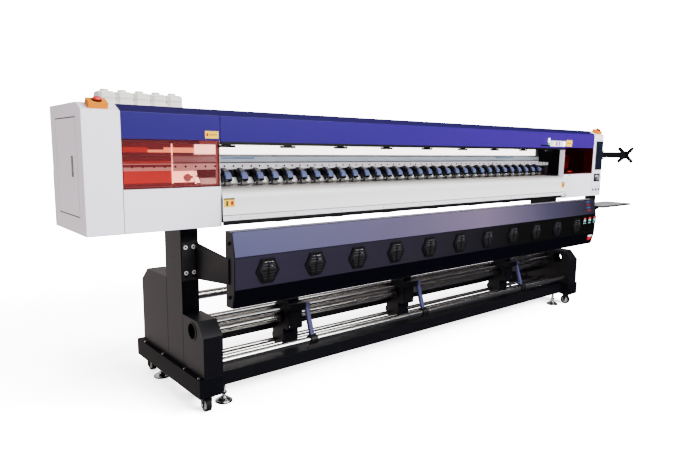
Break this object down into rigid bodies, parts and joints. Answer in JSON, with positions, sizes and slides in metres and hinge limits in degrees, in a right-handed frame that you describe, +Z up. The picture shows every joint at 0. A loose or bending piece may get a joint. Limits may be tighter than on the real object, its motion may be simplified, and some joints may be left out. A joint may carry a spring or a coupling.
{
  "type": "wide-format roll printer",
  "caption": "Floor-standing roll-to-roll wide-format printer with end housings, hinged covers, front dryer, take-up, casters, levelling feet, shelf and monitor arm.",
  "frame": {"origin": "on the floor under the middle of the whole machine's box", "axes": "+X along the machine to the operator's right, +Y to the back, +Z up; the front faces -Y"},
  "size_m": [5.2, 1.0366, 1.66],
  "materials": {
    "housing_white": "gloss",
    "cover_blue": "gloss",
    "window_amber": "gloss",
    "frame_black": "powder coat",
    "dryer_black": "semi-gloss",
    "machined_grey": "satin",
    "roller_steel": "satin",
    "roller_rubber": "matte",
    "black_plastic": "matte",
    "screen_black": "gloss",
    "stop_yellow": "gloss",
    "stop_red": "gloss",
    "tank_cream": "translucent",
    "button_blue": "satin",
    "arm_blue": "satin",
    "shelf_grey": "satin"
  },
  "bodies": {
    "root": {"leg_skids": "frame_black", "leg_columns": "frame_black", "leg_boxes": "frame_black", "cross_beams": "frame_black", "slide_rods": "roller_steel", "rail_beam": "machined_grey", "platen": "machined_grey", "media_aprons": "machined_grey", "rear_cover": "cover_blue", "carriage_belt": "roller_rubber", "rail_brackets": "frame_black", "left_housing": "housing_white", "right_housing": "housing_white", "ink_tanks": "tank_cream", "power_inlet": "black_plastic", "estop_boxes": "stop_yellow", "operator_panel": "screen_black", "dryer_shell": "dryer_black", "dryer_ends": "dryer_black", "heater_tubes": "roller_steel", "dryer_fans": "black_plastic", "dryer_controllers": "black_plastic", "take_up_blocks": "frame_black", "laptop_shelf": "shelf_grey", "monitor_base": "frame_black", "frame_bolts": "roller_steel"},
    "carriage": {"carriage": "black_plastic"},
    "idler_pulley": {"idler_pulley": "machined_grey"},
    "drive_pulley": {"drive_pulley": "machined_grey"},
    "feed_roller": {"feed_roller": "roller_steel"},
    "pinch_arms": {"pinch_arms": "black_plastic"},
    "pinch_rollers": {"pinch_rollers": "roller_rubber"},
    "left_lid": {"left_lid": "cover_blue", "left_window": "window_amber"},
    "right_lid": {"right_lid": "cover_blue", "right_window": "window_amber"},
    "centre_lid": {"centre_lid": "cover_blue"},
    "side_door": {"side_door": "housing_white"},
    "left_estop_button": {"left_estop_button": "stop_red"},
    "right_estop_button": {"right_estop_button": "stop_red"},
    "power_knob": {"power_knob": "machined_grey"},
    "menu_button_1": {"menu_button_1": "button_blue"},
    "menu_button_2": {"menu_button_2": "button_blue"},
    "menu_button_3": {"menu_button_3": "button_blue"},
    "winding_shaft": {"winding_shaft": "roller_steel"},
    "guide_roller": {"guide_roller": "roller_steel"},
    "unwind_shaft": {"unwind_shaft": "roller_steel"},
    "tension_arms": {"tension_arms": "arm_blue"},
    "tension_tube": {"tension_tube": "roller_steel"},
    "left_caster_fork": {"left_caster_fork": "frame_black"},
    "right_caster_fork": {"right_caster_fork": "frame_black"},
    "left_caster_wheel": {"left_caster_wheel": "roller_rubber"},
    "right_caster_wheel": {"right_caster_wheel": "roller_rubber"},
    "rear_wheels": {"rear_wheels": "roller_rubber"},
    "front_left_foot": {"front_left_levelling_foot": "roller_steel"},
    "front_right_foot": {"front_right_levelling_foot": "roller_steel"},
    "rear_left_foot": {"rear_left_levelling_foot": "roller_steel"},
    "rear_right_foot": {"rear_right_levelling_foot": "roller_steel"},
    "monitor_arm": {"monitor_arm": "frame_black"},
    "monitor_head": {"monitor_head": "frame_black"}
  },
  "joints": [
    {"name": "carriage_slide", "type": "slide", "parent": "root", "child": "carriage", "axis": [-1, 0, 0], "range_m": [0, 3.79]},
    {"name": "idler_pulley_spin", "type": "hinge", "parent": "root", "child": "idler_pulley", "pos_m": [-2.383, 0.10131, 1.397], "axis": [0, 0, 1], "continuous": true},
    {"name": "drive_pulley_spin", "type": "hinge", "parent": "root", "child": "drive_pulley", "pos_m": [1.797, 0.10131, 1.397], "axis": [0, 0, 1], "continuous": true},
    {"name": "feed_spin", "type": "hinge", "parent": "root", "child": "feed_roller", "pos_m": [-0.293, -0.02369, 1.1315], "axis": [1, 0, 0], "continuous": true},
    {"name": "pinch_lift", "type": "hinge", "parent": "root", "child": "pinch_arms", "pos_m": [-0.293, 0.04631, 1.203], "axis": [-1, 0, 0], "range_deg": [0, 10]},
    {"name": "pinch_spin", "type": "hinge", "parent": "pinch_arms", "child": "pinch_rollers", "pos_m": [-0.293, -0.02369, 1.159], "axis": [1, 0, 0], "continuous": true},
    {"name": "left_lid_hinge", "type": "hinge", "parent": "root", "child": "left_lid", "pos_m": [-2.187, 0.24131, 1.545], "axis": [-1, 0, 0], "range_deg": [0, 75]},
    {"name": "centre_lid_hinge", "type": "hinge", "parent": "root", "child": "centre_lid", "pos_m": [-0.293, 0.24131, 1.545], "axis": [-1, 0, 0], "range_deg": [0, 75]},
    {"name": "right_lid_hinge", "type": "hinge", "parent": "root", "child": "right_lid", "pos_m": [1.601, 0.24131, 1.545], "axis": [-1, 0, 0], "range_deg": [0, 75]},
    {"name": "side_door_hinge", "type": "hinge", "parent": "root", "child": "side_door", "pos_m": [-2.601, 0.19031, 1.261], "axis": [0, 0, -1], "range_deg": [0, 110]},
    {"name": "left_estop_press", "type": "slide", "parent": "root", "child": "left_estop_button", "axis": [0, 0.4422, -0.8969], "range_m": [0, 0.004]},
    {"name": "right_estop_press", "type": "slide", "parent": "root", "child": "right_estop_button", "axis": [0, 0.4422, -0.8969], "range_m": [0, 0.004]},
    {"name": "power_knob_turn", "type": "hinge", "parent": "root", "child": "power_knob", "pos_m": [1.931, -0.25069, 1.123], "axis": [0, 1, 0], "range_deg": [0, 90]},
    {"name": "menu_button_1_press", "type": "slide", "parent": "root", "child": "menu_button_1", "axis": [0, 1, 0], "range_m": [0, 0.0025], "stiffness_N_per_m": 400, "springref_m": -0.001},
    {"name": "menu_button_2_press", "type": "slide", "parent": "root", "child": "menu_button_2", "axis": [0, 1, 0], "range_m": [0, 0.0025], "stiffness_N_per_m": 400, "springref_m": -0.001},
    {"name": "menu_button_3_press", "type": "slide", "parent": "root", "child": "menu_button_3", "axis": [0, 1, 0], "range_m": [0, 0.0025], "stiffness_N_per_m": 400, "springref_m": -0.001},
    {"name": "winding_spin", "type": "hinge", "parent": "root", "child": "winding_shaft", "pos_m": [-0.293, -0.10869, 0.37], "axis": [1, 0, 0], "continuous": true},
    {"name": "guide_roller_spin", "type": "hinge", "parent": "root", "child": "guide_roller", "pos_m": [-0.293, -0.06369, 0.43], "axis": [1, 0, 0], "continuous": true},
    {"name": "unwind_spin", "type": "hinge", "parent": "root", "child": "unwind_shaft", "pos_m": [-0.293, 0.32131, 0.46], "axis": [1, 0, 0], "continuous": true},
    {"name": "tension_swing", "type": "hinge", "parent": "root", "child": "tension_arms", "pos_m": [-0.293, -0.20869, 0.445], "axis": [-1, 0, 0], "range_deg": [0, 60]},
    {"name": "tension_tube_spin", "type": "hinge", "parent": "tension_arms", "child": "tension_tube", "pos_m": [-0.293, -0.27369, 0.249], "axis": [1, 0, 0], "continuous": true},
    {"name": "left_caster_swivel", "type": "hinge", "parent": "root", "child": "left_caster_fork", "pos_m": [-2.06, -0.27869, 0.06], "axis": [0, 0, 1], "continuous": true},
    {"name": "right_caster_swivel", "type": "hinge", "parent": "root", "child": "right_caster_fork", "pos_m": [1.474, -0.27869, 0.06], "axis": [0, 0, 1], "continuous": true},
    {"name": "left_caster_spin", "type": "hinge", "parent": "left_caster_fork", "child": "left_caster_wheel", "pos_m": [-2.06, -0.26469, 0.036], "axis": [1, 0, 0], "continuous": true},
    {"name": "right_caster_spin", "type": "hinge", "parent": "right_caster_fork", "child": "right_caster_wheel", "pos_m": [1.474, -0.26469, 0.036], "axis": [1, 0, 0], "continuous": true},
    {"name": "rear_wheels_spin", "type": "hinge", "parent": "root", "child": "rear_wheels", "pos_m": [-0.293, 0.46631, 0.036], "axis": [1, 0, 0], "continuous": true},
    {"name": "front_left_foot_screw", "type": "slide", "parent": "root", "child": "front_left_foot", "axis": [0, 0, -1], "range_m": [0, 0.015]},
    {"name": "front_right_foot_screw", "type": "slide", "parent": "root", "child": "front_right_foot", "axis": [0, 0, -1], "range_m": [0, 0.015]},
    {"name": "rear_left_foot_screw", "type": "slide", "parent": "root", "child": "rear_left_foot", "axis": [0, 0, -1], "range_m": [0, 0.015]},
    {"name": "rear_right_foot_screw", "type": "slide", "parent": "root", "child": "rear_right_foot", "axis": [0, 0, -1], "range_m": [0, 0.015]},
    {"name": "monitor_arm_swing", "type": "hinge", "parent": "root", "child": "monitor_arm", "pos_m": [2.052, -0.20869, 1.332], "axis": [0, 0, 1], "range_deg": [-60, 80]},
    {"name": "monitor_head_pan", "type": "hinge", "parent": "monitor_arm", "child": "monitor_head", "pos_m": [2.357, -0.27469, 1.332], "axis": [0, 0, 1], "range_deg": [-60, 60]}
  ],
  "couplings": [
    {"joint": "idler_pulley_spin", "follows": "carriage_slide", "rad_per_m": -57.143},
    {"joint": "drive_pulley_spin", "follows": "carriage_slide", "rad_per_m": -57.143},
    {"joint": "pinch_spin", "follows": "feed_spin", "ratio": -1.25}
  ]
}
